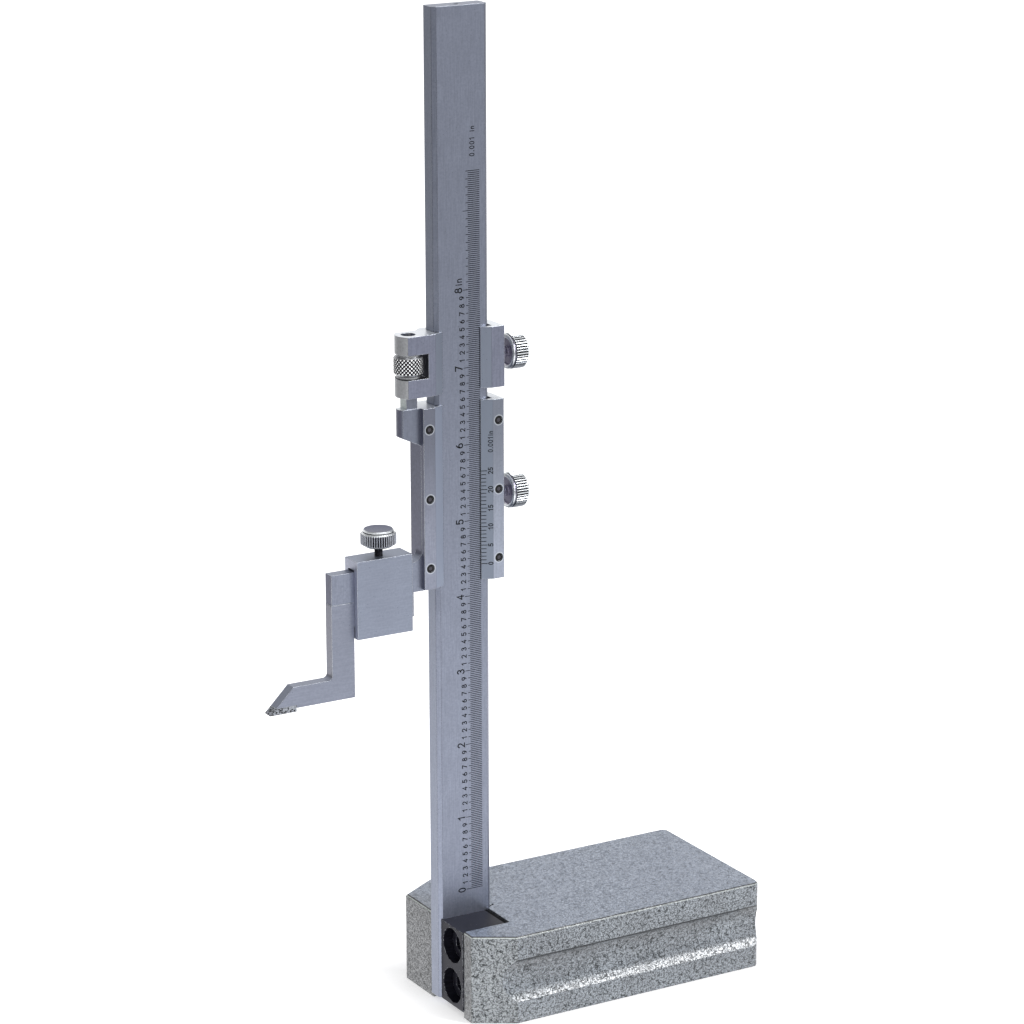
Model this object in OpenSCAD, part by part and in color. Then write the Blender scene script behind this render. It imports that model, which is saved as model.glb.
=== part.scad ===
// Vernier height gauge. Origin at the centre of the base's ground underside,
// +Z up along the beam, +X from the beam end of the base to its free end,
// and the graduated face of the beam towards -Y.

/* [Base] */
// Length of the base
base_l = 109; // [100:0.5:120]
// Width of the base
base_w = 60; // [54:0.5:68]
// Height of the base
base_h = 30.4; // [28:0.2:34]
// Length of the two plan chamfers at the beam end
nose_l = 13.2; // [8:0.2:18]
// Width of the two plan chamfers at the beam end
nose_w = 7.9; // [4:0.1:10]
// Plan radius of the two corners of the free end
tail_r = 2.4; // [1:0.2:4]
// Bevel round the top edges of the base
top_bevel = 0.6; // [0.3:0.1:1]
// Height of the finger grooves' centre line above the table
grip_z = 14.9; // [14:0.1:16]
// Radius of the finger grooves
grip_r = 11.5; // [9:0.5:13]
// Depth of the finger grooves
grip_depth = 2.7; // [1.5:0.1:3.5]
// Depth of the relief pockets in the underside
relief_depth = 1.2; // [0.6:0.1:2]
// Width of the ground rim round the relief pockets
rim_w = 9; // [6:0.5:12]
// Width of the ground land between the two relief pockets
land_w = 10; // [6:0.5:14]
// Distance of the relief pockets from the beam end
relief_start = 36; // [34:0.5:44]

/* [Beam] */
// Width of the beam across its graduated face
beam_w = 19.7; // [19:0.1:22]
// Thickness of the beam
beam_t = 6.4; // [5.6:0.1:7.6]
// Height of the beam's top above the table
beam_top = 332.5; // [328:0.5:380]
// Height of the beam's foot above the table
beam_foot = 2; // [1:0.2:3]
// Bevel on the beam's two front edges
beam_bevel = 1.2; // [0.8:0.1:1.5]
// Bevel on the beam's two back edges
beam_back_bevel = 0.4; // [0.2:0.1:0.8]
// How far the beam's narrow edge stands proud of the base
beam_proud = 1; // [0.6:0.1:1.6]
// Radius of the centre hole in the beam's top end
centre_r = 1.1; // [0.6:0.1:1.6]
// Depth of the centre hole
centre_depth = 3; // [2:0.5:5]

/* [Clamp block] */
// Length of the clamp block along the base
block_l = 17.2; // [15:0.1:17.6]
// Width of the clamp block
block_w = 13.9; // [13:0.1:15.5]
// How far the clamp block's end lies inside the beam's narrow edge
block_inset = 0.7; // [0.4:0.1:1]
// Height of the clamp block's foot above the table
block_foot = 2; // [1:0.2:2.4]
// Step from the base's top down to the block's top
block_step = 0.3; // [0.1:0.1:0.6]
// Open gap between the block's inner end and the base
block_gap = 0.7; // [0.4:0.1:1.2]
// Clearance beside the block
block_side_gap = 0.1; // [0.05:0.05:0.3]
// Height of the lower clamp screw above the block's foot
screw_low = 7.1; // [6.8:0.1:7.4]
// Distance between the two clamp screws
screw_pitch = 14.2; // [13.4:0.1:14.4]
// Diameter of the counterbores
counterbore_d = 12; // [11:0.1:12.4]
// How deep the screw heads sit below the block's end
head_recess = 3; // [1.5:0.1:4]
// Diameter of the screw heads
head_d = 10; // [9:0.1:10.4]
// Height of the screw heads
head_h = 6; // [4.5:0.1:6.5]
// Key size of the hexagon sockets
socket_af = 5; // [4:0.1:6]
// Depth of the hexagon sockets
socket_depth = 3; // [2:0.1:4]
// Diameter of the screw shanks
clamp_screw_d = 6; // [5:0.1:7]
// Length of screw in the base beyond the gap
clamp_screw_grip = 12; // [8:0.5:15]
// Angle of the saw relief at the corner of the beam seat
relief_angle = 25; // [20:1:32]
// Length of the saw relief
relief_l = 4; // [3:0.1:5]
// Width of the saw relief
relief_w = 0.9; // [0.6:0.1:1.2]

/* [Slider] */
// Height of the scriber's edge above the table, which the scale reads
reading = 112; // [60:0.1:200]
// Height of the slider
slider_h = 60; // [56:0.5:70]
// Thickness of the slider's wall on the jaw side
slider_wall_l = 5.5; // [5:0.1:6.5]
// Thickness of the slider's wall on the lock screw side
slider_wall_r = 3.2; // [2.4:0.1:4]
// Thickness of the slider's wall behind the beam
slider_back_t = 2; // [1.4:0.1:3]
// Bevel along the slider's two back edges
slider_bevel = 1.5; // [0.5:0.1:1.8]
// Distance of the vernier's zero line from the slider's foot
zero_up = 5.3; // [4:0.1:6]
// Thickness of the two front plates
plate_t = 1.9; // [1.5:0.1:2.4]
// Thickness of the front plates' thin edges
edge_t = 0.25; // [0.2:0.05:0.4]
// Overlap of the plain front plate on the beam
front_lip = 2.3; // [1.8:0.1:3]
// Width of the plain front plate's bevel
front_slope = 3.7; // [3:0.1:4]
// Overlap of the vernier plate on the beam
vernier_lip = 3.5; // [3.2:0.1:4.4]
// Width of the vernier plate's graduated bevel
vernier_slope = 3.65; // [3:0.05:4]
// Distance of the end plate screws from the plates' ends
plate_screw_in = 7; // [5:0.1:9]
// Distance of the plain plate's screws from its outer edge
front_screw_in = 2.2; // [1.9:0.1:2.6]
// Distance of the vernier plate's screws from its outer edge
vernier_screw_in = 1.9; // [1.7:0.05:2]
// Diameter of the plate screws' heads
plate_head_d = 2.3; // [1.8:0.1:2.6]
// Height of the plate screws' heads
plate_head_h = 0.9; // [0.6:0.1:1.1]
// Diameter of the plate screws' shanks
plate_shank_d = 1.4; // [1:0.1:1.6]
// Length of the plate screws below their heads
plate_shank_l = 2.2; // [1.6:0.1:2.4]
// Sink of the plate screws' heads below the plates' faces
plate_head_sink = 0.1; // [0.05:0.05:0.2]

/* [Jaw] */
// Length of the jaw from the slider's wall to its end
arm_l = 32.9; // [30:0.1:38]
// Height of the jaw
arm_h = 10; // [8.5:0.1:11]
// Thickness of the jaw and of the scriber
arm_t = 4; // [3.4:0.1:5]
// Step of the jaw's ground underside below the slider's foot
arm_drop = 0.6; // [0.3:0.1:1]
// Fillet between the jaw and the slider's wall
arm_fillet = 3.3; // [2:0.1:4]

/* [Lug] */
// Height of the lug where it leaves the slider
lug_h = 12.3; // [11:0.1:14]
// Slope of the lug's underside in degrees
lug_slope = 25; // [15:1:30]
// Radius of the lug's rounded nose
lug_r = 4.1; // [3.6:0.1:4.6]

/* [Fine adjustment] */
// Gap between the slider and the carriage at rest
carriage_gap = 3.9; // [3.5:0.1:5]
// Height of the carriage
carriage_h = 20; // [19:0.1:23]
// Height of the carriage's lower jaw
jaw_low_h = 6; // [5.5:0.1:6.5]
// Height of the window that holds the nut
window_h = 8; // [7.6:0.1:9]
// Thickness of the carriage's wall between window and beam
carriage_wall_l = 3.4; // [2.8:0.05:3.45]
// Thickness of the carriage's wall on the lock screw side
carriage_wall_r = 3.5; // [2.6:0.1:4]
// Overlap of the carriage's left lip on the beam
carriage_lip_l = 2.4; // [1.8:0.1:3]
// Width of the left lip's bevel
carriage_slope_l = 3.4; // [3:0.1:3.8]
// Overlap of the carriage's right lip on the beam
carriage_lip_r = 3.45; // [3:0.05:4.4]
// Width of the right lip's bevel
carriage_slope_r = 3.25; // [2.8:0.05:3.6]
// Distance of the adjusting screw's axis from the beam's edge
axis_off = 8.6; // [8.55:0.05:9.5]
// Distance of that axis behind the beam's front face
axis_depth = 2.2; // [2:0.1:2.6]
// Radius of the carriage's rounded nose
nose_r = 5.7; // [5.4:0.05:6]
// Distance of the nose's centre from the adjusting screw's axis
nose_off = 1.5; // [1.2:0.05:1.7]
// Radius of the adjusting nut
nut_r = 4.8; // [4.5:0.05:4.8]
// Height of the nut's knurled band
nut_band_h = 6.2; // [5.4:0.1:6.6]
// Radius of the nut's plain collars
nut_collar_r = 3.8; // [3.2:0.1:4.4]
// Gap above and below the nut in its window
nut_gap = 0.08; // [0.05:0.01:0.15]
// Bevel on the nut's lower edge
nut_bevel_low = 0.8; // [0.3:0.1:1]
// Bevel on the nut's upper edge
nut_bevel_top = 0.3; // [0.2:0.1:0.8]
// Side of the stud's square shank
stud_side = 4; // [3.4:0.1:4.2]
// Height of the stud's square shank above the slider
stud_square_h = 6.6; // [6:0.1:6.8]
// Radius of the stud's threaded end
stud_r = 1.9; // [1.4:0.1:2]
// Height of the stud's threaded end above the square
stud_thread_h = 13.6; // [12.6:0.1:13.8]
// Radius of the stud's spigot in the lug
spigot_r = 1.5; // [1.2:0.1:1.8]
// Length of that spigot
spigot_l = 6; // [4:0.5:7]
// Radius of the bore in the carriage's upper jaw
top_bore_r = 2.35; // [2.2:0.05:2.6]
// Radius of the bore in the carriage's lower jaw
low_bore_r = 3.1; // [3.05:0.05:3.4]

/* [Lock screws] */
// Distance from the beam's edge to the lock knobs' inner faces
knob_off = 8.2; // [7.4:0.1:9]
// Radius of the lock knobs
knob_r = 5.85; // [5:0.05:6.5]
// Length of the lock knobs
knob_l = 5.8; // [5:0.1:7]
// Width of the bright rim on the lock knobs' inner faces
knob_rim = 1.7; // [1:0.1:2.4]
// Length of that rim along the knob
knob_rim_l = 0.6; // [0.3:0.1:1.2]
// Bevel on the lock knobs' outer ends
knob_bevel = 0.9; // [0.5:0.1:1.2]
// Radius of the lock screws' shanks
lock_r = 2; // [1.6:0.1:2.2]
// Height of the slider's lock screw above the slider's foot
lock_up = 27.5; // [26.5:0.1:33]
// Thickness of the gibs
gib_t = 0.8; // [0.6:0.05:1]
// How far the gibs stop short of each end
gib_short = 1; // [0.5:0.1:2]
// Number of grooves round each straight knurl
knurl_n = 44; // [32:2:60]
// Depth of the straight knurls
knurl_depth = 0.32; // [0.2:0.02:0.4]

/* [Scriber and its clamp] */
// Length of the scriber clamp along the jaw
clamp_l = 20; // [16:0.1:22]
// Distance of the clamp from the slider's wall at rest
clamp_reach = 4.7; // [4.5:0.1:8]
// Thickness of the clamp's front and back walls
clamp_wall = 2.05; // [1.6:0.05:2.6]
// Thickness of the clamp's top wall
clamp_top_t = 3.1; // [2.6:0.1:4]
// Thickness of the clamp's bottom wall
clamp_bottom_t = 4; // [3:0.1:5]
// Gap between the jaw's top and the clamp
clamp_head_gap = 0.6; // [0.3:0.1:1]
// Sliding gap between the clamp, the jaw and the scriber
clamp_gap = 0.06; // [0.04:0.01:0.12]
// Drop from the jaw's underside to the scribing edge
scriber_drop = 33; // [30:0.1:40]
// Height of the scriber's shank
shank_h = 8; // [7:0.1:9]
// Length of the scriber's shank
shank_l = 21.8; // [20:0.1:23]
// Width of the scriber's upright
upright_w = 8.1; // [7:0.1:9]
// Gap between the upright and the clamp
upright_gap = 0.2; // [0.1:0.05:0.5]
// Height of the scriber's foot
foot_h = 7.1; // [6.5:0.1:8.5]
// Length of the foot's flat top
foot_l = 14.1; // [12:0.1:18]
// Fillet between the foot and the upright
foot_fillet = 1.5; // [1:0.1:2.5]
// Thickness of the carbide tip
tip_t = 2.1; // [1.8:0.1:2.6]
// Step of the carbide tip below the foot
tip_step = 1.2; // [0.6:0.1:1.4]
// Length of the carbide tip along its edge face
tip_l = 9.4; // [8:0.1:12]
// Radius of the clamp screw's knurled head
screw_head_r = 5.8; // [5.2:0.1:6.6]
// Height of that head
screw_head_h = 4.8; // [4:0.1:6]
// Bevel on that head's upper edge
screw_head_bevel = 0.3; // [0.2:0.1:0.6]
// Bevel on that head's lower edge
screw_low_bevel = 0.9; // [0.4:0.1:1.2]
// Radius of the plain cap on that head
screw_cap_r = 4.7; // [4.2:0.1:4.8]
// Height of the plain cap
screw_cap_h = 0.6; // [0.4:0.1:2]
// Radius of the clamp screw's shank
screw_shank_r = 1.4; // [1.2:0.05:1.7]
// Length of shank that shows under the head
screw_show = 3.2; // [2.8:0.1:5]

/* [Hidden] */

// Finish colours as photographed
paint_colour = [0.60, 0.63, 0.63];
steel_colour = [0.62, 0.64, 0.70];
black_colour = [0.17, 0.17, 0.20];
chrome_colour = [0.80, 0.82, 0.84];
carbide_colour = [0.35, 0.38, 0.40];

// Facets of true rounds
round_fn = 72;
// Facets along each rounded corner of the base
tail_steps = 4;
// Overrun that every cut shares
over = 1;
// Sliding clearance between the beam and what runs on it
run_gap = 0.1;
// Clearance round fixed screws, pins and the seated beam
seat_gap = 0.03;
// Radial clearance round screws that turn
turn_gap = 0.05;

// Beam faces
beam_x0 = -base_l / 2 - beam_proud;
beam_x1 = beam_x0 + beam_w;
beam_y0 = -beam_t / 2;
beam_y1 = beam_t / 2;

// Clamp block faces
block_x0 = beam_x0 + block_inset;
block_x1 = block_x0 + block_l;
block_y0 = beam_y0 - block_w;
block_z1 = base_h - block_step;
notch_x1 = block_x1 + block_gap;
clamp_screw_y = beam_y0 - block_w / 2;
clamp_screw_z = [block_foot + screw_low, block_foot + screw_low + screw_pitch];

// Slider heights
arm_z0 = reading + scriber_drop;
slider_z0 = arm_z0 + arm_drop;
slider_z1 = slider_z0 + slider_h;
arm_z1 = arm_z0 + arm_h;

// Slider faces
front_y = beam_y0 - run_gap;
plate_y = front_y - plate_t;
bore_y1 = beam_y1 + run_gap;
slider_y1 = bore_y1 + slider_back_t;
channel_x0 = beam_x0 - run_gap;
channel_x1 = beam_x1 + run_gap + gib_t + run_gap;
slider_x0 = channel_x0 - slider_wall_l;
slider_x1 = channel_x1 + slider_wall_r;
arm_x0 = slider_x0 - arm_l;

// Fine adjustment
axis_x = beam_x0 - axis_off;
axis_y = beam_y0 + axis_depth;
lug_t = 2 * (axis_y - front_y);
carriage_z0 = slider_z1 + carriage_gap;
carriage_z1 = carriage_z0 + carriage_h;
window_z0 = carriage_z0 + jaw_low_h;
window_z1 = window_z0 + window_h;
window_x1 = channel_x0 - carriage_wall_l;
carriage_x1 = channel_x1 + carriage_wall_r;
jaw_y1 = 2 * axis_y - plate_y;
nose_x = axis_x + nose_off;
nose_dx = sqrt(nose_r * nose_r - (axis_y - plate_y) * (axis_y - plate_y));
lug_dx = sqrt(lug_r * lug_r - lug_t * lug_t / 4);
stud_z1 = slider_z1 + stud_square_h;

// Lock screws
knob_x0 = beam_x1 + knob_off;
lock_tip_x = beam_x1 + run_gap + gib_t + turn_gap;
carriage_lock_z = (carriage_z0 + carriage_z1) / 2;
slider_lock_z = slider_z0 + lock_up;

// Scriber clamp and scriber
arm_y0 = front_y;
arm_y1 = arm_y0 + arm_t;
clamp_x1 = slider_x0 - clamp_reach;
clamp_x0 = clamp_x1 - clamp_l;
clamp_y0 = arm_y0 - clamp_gap - clamp_wall;
clamp_y1 = arm_y1 + clamp_gap + clamp_wall;
shank_z1 = arm_z0 - clamp_gap;
shank_z0 = shank_z1 - shank_h;
clamp_z0 = shank_z0 - clamp_gap - clamp_bottom_t;
clamp_in_z1 = arm_z1 + clamp_head_gap;
clamp_z1 = clamp_in_z1 + clamp_top_t;
clamp_mid_x = (clamp_x0 + clamp_x1) / 2;
clamp_mid_y = (clamp_y0 + clamp_y1) / 2;
upright_x1 = clamp_x0 - upright_gap;
upright_x0 = upright_x1 - upright_w;
foot_z0 = reading + tip_step;
foot_z1 = foot_z0 + foot_h;
edge_x = upright_x0 - foot_l - (foot_z1 - reading);
tip_x1 = edge_x + tip_l;
tip_z1 = reading + tip_t;
head_z0 = clamp_z1 + screw_show;

// A vertical prism over a plan outline
module upright_prism(points, z0, z1) {
    translate([0, 0, z0])
        linear_extrude(z1 - z0)
            polygon(points);
}

// A prism across the thickness of the jaw over an outline in X and Z
module cross_prism(points, y0, y1) {
    translate([0, y1, 0])
        rotate([90, 0, 0])
            linear_extrude(y1 - y0)
                polygon(points);
}

// A block between two opposite corners
module block(low, high) {
    translate(low)
        cube(high - low);
}

// A cylinder along +X, +Y or +Z from a point
module rod_x(from, r, l) {
    translate(from)
        rotate([0, 90, 0])
            cylinder(r = r, h = l, $fn = round_fn);
}

module rod_y(from, r, l) {
    translate(from)
        rotate([-90, 0, 0])
            cylinder(r = r, h = l, $fn = round_fn);
}

module rod_z(from, r, l) {
    translate(from)
        cylinder(r = r, h = l, $fn = round_fn);
}

// Points of an arc round a centre
function arc(centre, r, from, to, steps) = [for (i = [0:steps])
    centre + r * [cos(from + (to - from) * i / steps), sin(from + (to - from) * i / steps)]];

// Plan outline of the base
function base_outline() = concat(
    [[-base_l / 2, base_w / 2 - nose_w], [-base_l / 2, -base_w / 2 + nose_w],
        [-base_l / 2 + nose_l, -base_w / 2]],
    arc([base_l / 2 - tail_r, -base_w / 2 + tail_r], tail_r, -90, 0, tail_steps),
    arc([base_l / 2 - tail_r, base_w / 2 - tail_r], tail_r, 0, 90, tail_steps),
    [[-base_l / 2 + nose_l, base_w / 2]]);

// Section of the beam, grown by a clearance
function beam_section(gap) = [
    [beam_x0 - gap, beam_y0 + beam_bevel],
    [beam_x0 + beam_bevel, beam_y0 - gap],
    [beam_x1 - beam_bevel, beam_y0 - gap],
    [beam_x1 + gap, beam_y0 + beam_bevel],
    [beam_x1 + gap, beam_y1 + gap - beam_back_bevel],
    [beam_x1 + gap - beam_back_bevel, beam_y1 + gap],
    [beam_x0 - gap + beam_back_bevel, beam_y1 + gap],
    [beam_x0 - gap, beam_y1 + gap - beam_back_bevel]
];

// Bevelled edges along the whole top of the base
module base_edge_cuts() {
    points = base_outline();
    count = len(points);
    for (i = [0:count - 1]) {
        from = points[i];
        to = points[(i + 1) % count];
        run = to - from;
        translate([from.x, from.y, base_h])
            rotate([0, 0, atan2(run.y, run.x)])
                rotate([90, 0, 90])
                    translate([0, 0, -over])
                        linear_extrude(norm(run) + 2 * over)
                            polygon([[-over, -top_bevel - over], [-over, over], [top_bevel + over, over]]);
    }
}

module base_casting() {
    color(paint_colour)
        difference() {
            upright_prism(base_outline(), 0, base_h);
            base_edge_cuts();
            for (side = [-1, 1])
                rod_x([-base_l / 2 - over, side * (base_w / 2 + grip_r - grip_depth), grip_z],
                    grip_r, base_l + 2 * over);
            block([-base_l / 2 - over, block_y0 - block_side_gap, -over],
                [notch_x1, beam_y0, base_h + over]);
            upright_prism(beam_section(seat_gap), -over, base_h + over);
            block([-base_l / 2 - over, beam_y0, -over],
                [beam_x1 - beam_bevel, beam_y1 + seat_gap, base_h + over]);
            translate([beam_x1 - beam_bevel, beam_y0 + relief_w / 2, -over])
                rotate([0, 0, relief_angle])
                    cube([relief_l, relief_w, base_h + 2 * over]);
            for (z = clamp_screw_z)
                rod_x([notch_x1 - over, clamp_screw_y, z], clamp_screw_d / 2 + seat_gap,
                    clamp_screw_grip + 2 * over);
            block([-base_l / 2 + relief_start, -base_w / 2 + rim_w, -over],
                [-land_w / 2, base_w / 2 - rim_w, relief_depth]);
            block([land_w / 2, -base_w / 2 + rim_w, -over],
                [base_l / 2 - rim_w, base_w / 2 - rim_w, relief_depth]);
        }
}

module beam() {
    color(steel_colour)
        difference() {
            upright_prism(beam_section(0), beam_foot, beam_top);
            rod_z([(beam_x0 + beam_x1) / 2, 0, beam_top - centre_depth], centre_r, centre_depth + over);
        }
}

module clamp_block() {
    nose_y = beam_y0 + beam_bevel - block_inset - 2 * seat_gap;
    color(black_colour)
        difference() {
            upright_prism([[block_x0, block_y0], [block_x1, block_y0], [block_x1, beam_y0 - seat_gap],
                [beam_x0 + beam_bevel, beam_y0 - seat_gap], [block_x0, nose_y]], block_foot, block_z1);
            for (z = clamp_screw_z) {
                rod_x([block_x0 - over, clamp_screw_y, z], clamp_screw_d / 2 + seat_gap, block_l + 2 * over);
                rod_x([block_x0 - over, clamp_screw_y, z], counterbore_d / 2, over + head_recess + head_h);
            }
        }
}

module clamp_block_screws() {
    head_x = block_x0 + head_recess;
    color(black_colour)
        for (z = clamp_screw_z)
            difference() {
                union() {
                    rod_x([head_x, clamp_screw_y, z], head_d / 2, head_h);
                    rod_x([head_x, clamp_screw_y, z], clamp_screw_d / 2,
                        notch_x1 + clamp_screw_grip - head_x);
                }
                translate([head_x - over, clamp_screw_y, z])
                    rotate([0, 90, 0])
                        cylinder(r = socket_af / sqrt(3), h = socket_depth + over, $fn = 6);
            }
}

// Jaw with the fillet that carries it on the slider's wall
module jaw() {
    difference() {
        union() {
            block([arm_x0, arm_y0, arm_z0], [slider_x0 + over, arm_y1, arm_z1]);
            block([slider_x0 - arm_fillet, arm_y0, arm_z1 - over],
                [slider_x0 + over, arm_y1, arm_z1 + arm_fillet]);
        }
        rod_y([slider_x0 - arm_fillet, arm_y0 - over, arm_z1 + arm_fillet], arm_fillet, arm_t + 2 * over);
    }
}

// Lug that holds the foot of the adjusting stud
module lug() {
    low_z = slider_z1 - lug_h;
    reach = slider_x0 - axis_x + lug_r;
    intersection() {
        union() {
            block([axis_x - lug_dx, axis_y - lug_t / 2, low_z],
                [slider_x0 + over, axis_y + lug_t / 2, slider_z1]);
            intersection() {
                rod_z([axis_x, axis_y, low_z], lug_r, lug_h);
                block([axis_x - lug_r - over, axis_y - lug_t / 2, low_z],
                    [axis_x, axis_y + lug_t / 2, slider_z1]);
            }
        }
        cross_prism([[slider_x0 + over, low_z - over * tan(lug_slope)],
            [slider_x0 - reach - over, low_z + (reach + over) * tan(lug_slope)],
            [slider_x0 - reach - over, slider_z1], [slider_x0 + over, slider_z1]],
            axis_y - lug_r, axis_y + lug_r);
    }
}

// Heights of the three screws in each front plate
function plate_screw_z() = [slider_z0 + plate_screw_in, (slider_z0 + slider_z1) / 2,
    slider_z1 - plate_screw_in];

module plate_screw_holes(x) {
    for (z = plate_screw_z()) {
        rod_y([x, plate_y - over, z], plate_shank_d / 2 + seat_gap,
            over + plate_head_sink + plate_head_h + plate_shank_l + seat_gap);
        rod_y([x, plate_y - over, z], plate_head_d / 2 + seat_gap, over + plate_head_sink + plate_head_h);
    }
}

module plate_screws(x) {
    for (z = plate_screw_z()) {
        rod_y([x, plate_y + plate_head_sink, z], plate_head_d / 2, plate_head_h);
        rod_y([x, plate_y + plate_head_sink, z], plate_shank_d / 2, plate_head_h + plate_shank_l);
    }
}

front_screw_x = slider_x0 + front_screw_in;
vernier_screw_x = slider_x1 - vernier_screw_in;

module slider_frame() {
    color(steel_colour)
        difference() {
            union() {
                upright_prism([[slider_x0, front_y], [slider_x1, front_y],
                    [slider_x1, slider_y1 - slider_bevel], [slider_x1 - slider_bevel, slider_y1],
                    [slider_x0 + slider_bevel, slider_y1], [slider_x0, slider_y1 - slider_bevel]],
                    slider_z0, slider_z1);
                jaw();
                lug();
            }
            block([channel_x0, front_y - over, arm_z0 - over], [channel_x1, bore_y1, slider_z1 + over]);
            rod_z([axis_x, axis_y, slider_z1 - spigot_l], spigot_r + seat_gap, spigot_l + over);
            rod_x([channel_x1 - over, 0, slider_lock_z], lock_r + turn_gap, slider_wall_r + 2 * over);
            plate_screw_holes(front_screw_x);
            plate_screw_holes(vernier_screw_x);
        }
}

module front_plate() {
    lip_x = beam_x0 + front_lip;
    color(steel_colour)
        difference() {
            upright_prism([[slider_x0, front_y], [slider_x0, plate_y], [lip_x - front_slope, plate_y],
                [lip_x, front_y - edge_t], [lip_x, front_y]], slider_z0, slider_z1);
            plate_screw_holes(front_screw_x);
        }
}

module vernier_plate() {
    lip_x = beam_x1 - vernier_lip;
    color(steel_colour)
        difference() {
            upright_prism([[slider_x1, front_y], [lip_x, front_y], [lip_x, front_y - edge_t],
                [lip_x + vernier_slope, plate_y], [slider_x1, plate_y]], slider_z0, slider_z1);
            plate_screw_holes(vernier_screw_x);
        }
}

module front_plate_screws() {
    color(black_colour)
        plate_screws(front_screw_x);
}

module vernier_plate_screws() {
    color(black_colour)
        plate_screws(vernier_screw_x);
}

// Gib strip between the beam's edge and the lock screw
module gib(z0, z1) {
    block([beam_x1 + run_gap, beam_y0 + beam_bevel, z0 + gib_short],
        [beam_x1 + run_gap + gib_t, beam_y1 - beam_back_bevel, z1 - gib_short]);
}

module slider_gib() {
    color(steel_colour)
        gib(slider_z0, slider_z1);
}

module carriage_gib() {
    color(steel_colour)
        gib(carriage_z0, carriage_z1);
}

// Star outline of a straight knurl
function knurl_points(r) = [for (i = [0:2 * knurl_n - 1])
    (i % 2 == 0 ? r : r - knurl_depth) * [cos(180 * i / knurl_n), sin(180 * i / knurl_n)]];

// Head along +Z with a straight knurl between two bevelled ends, each given as width and length
module knurled_head(r, h, low, high) {
    root_r = r - knurl_depth - seat_gap;
    translate([0, 0, low.y])
        linear_extrude(h - low.y - high.y)
            polygon(knurl_points(r));
    rotate_extrude($fn = round_fn)
        polygon([[0, 0], [root_r - low.x, 0], [root_r, low.y], [root_r, h - high.y], [root_r - high.x, h],
            [0, h]]);
}

// Lock screw with its knob, along +X from the beam
module lock_screw(z) {
    translate([knob_x0, 0, z])
        rotate([0, 90, 0])
            knurled_head(knob_r, knob_l, [knob_rim, knob_rim_l], [knob_bevel, knob_bevel]);
    rod_x([lock_tip_x, 0, z], lock_r, knob_x0 + knob_rim_l - lock_tip_x);
}

module slider_lock_screw() {
    color(chrome_colour)
        lock_screw(slider_lock_z);
}

module carriage_lock_screw() {
    color(chrome_colour)
        lock_screw(carriage_lock_z);
}

module adjusting_stud() {
    color(steel_colour) {
        rod_z([axis_x, axis_y, slider_z1 - spigot_l], spigot_r, spigot_l + over);
        translate([axis_x - stud_side / 2, axis_y - stud_side / 2, slider_z1])
            cube([stud_side, stud_side, stud_square_h]);
        rod_z([axis_x, axis_y, stud_z1 - over], stud_r, stud_thread_h + over);
    }
}

// Plan of the carriage without its rounded nose
function carriage_outline() = [
    [nose_x - nose_dx, plate_y],
    [beam_x0 + carriage_lip_l - carriage_slope_l, plate_y],
    [beam_x0 + carriage_lip_l, front_y - edge_t],
    [beam_x0 + carriage_lip_l, beam_y0],
    [beam_x1 - carriage_lip_r, beam_y0],
    [beam_x1 - carriage_lip_r, front_y - edge_t],
    [beam_x1 - carriage_lip_r + carriage_slope_r, plate_y],
    [carriage_x1, plate_y],
    [carriage_x1, slider_y1 - slider_bevel],
    [carriage_x1 - slider_bevel, slider_y1],
    [window_x1 + slider_y1 - jaw_y1, slider_y1],
    [window_x1, jaw_y1],
    [nose_x - nose_dx, jaw_y1]
];

module carriage_body() {
    color(steel_colour)
        difference() {
            union() {
                upright_prism(carriage_outline(), carriage_z0, carriage_z1);
                intersection() {
                    rod_z([nose_x, axis_y, carriage_z0], nose_r, carriage_h);
                    block([nose_x - nose_r - over, plate_y, carriage_z0], [nose_x, jaw_y1, carriage_z1]);
                }
            }
            block([channel_x0, front_y, carriage_z0 - over], [channel_x1, bore_y1, carriage_z1 + over]);
            block([nose_x - nose_r - over, plate_y - over, window_z0],
                [window_x1, slider_y1 + over, window_z1]);
            rod_z([axis_x, axis_y, carriage_z0 - over], low_bore_r, jaw_low_h + 2 * over);
            rod_z([axis_x, axis_y, window_z1 - over], top_bore_r, carriage_z1 - window_z1 + 2 * over);
            rod_x([channel_x1 - over, 0, carriage_lock_z], lock_r + turn_gap, carriage_wall_r + 2 * over);
        }
}

module adjusting_nut() {
    band_z0 = (window_h - nut_band_h) / 2;
    band_z1 = band_z0 + nut_band_h;
    color(chrome_colour)
        translate([axis_x, axis_y, window_z0])
            difference() {
                rotate_extrude($fn = round_fn)
                    polygon([[0, nut_gap], [nut_collar_r, nut_gap], [nut_collar_r, band_z0],
                        [nut_r - nut_bevel_low, band_z0], [nut_r, band_z0 + nut_bevel_low],
                        [nut_r, band_z1 - nut_bevel_top], [nut_r - nut_bevel_top, band_z1],
                        [nut_collar_r, band_z1], [nut_collar_r, window_h - nut_gap],
                        [0, window_h - nut_gap]]);
                rod_z([0, 0, -over], stud_r + turn_gap, window_h + 2 * over);
            }
}

module scriber_clamp() {
    color(steel_colour)
        difference() {
            block([clamp_x0, clamp_y0, clamp_z0], [clamp_x1, clamp_y1, clamp_z1]);
            block([clamp_x0 - over, arm_y0 - clamp_gap, shank_z0 - clamp_gap],
                [clamp_x1 + over, arm_y1 + clamp_gap, clamp_in_z1]);
            rod_z([clamp_mid_x, clamp_mid_y, clamp_in_z1 - over], screw_shank_r + turn_gap,
                clamp_top_t + 2 * over);
        }
}

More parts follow.
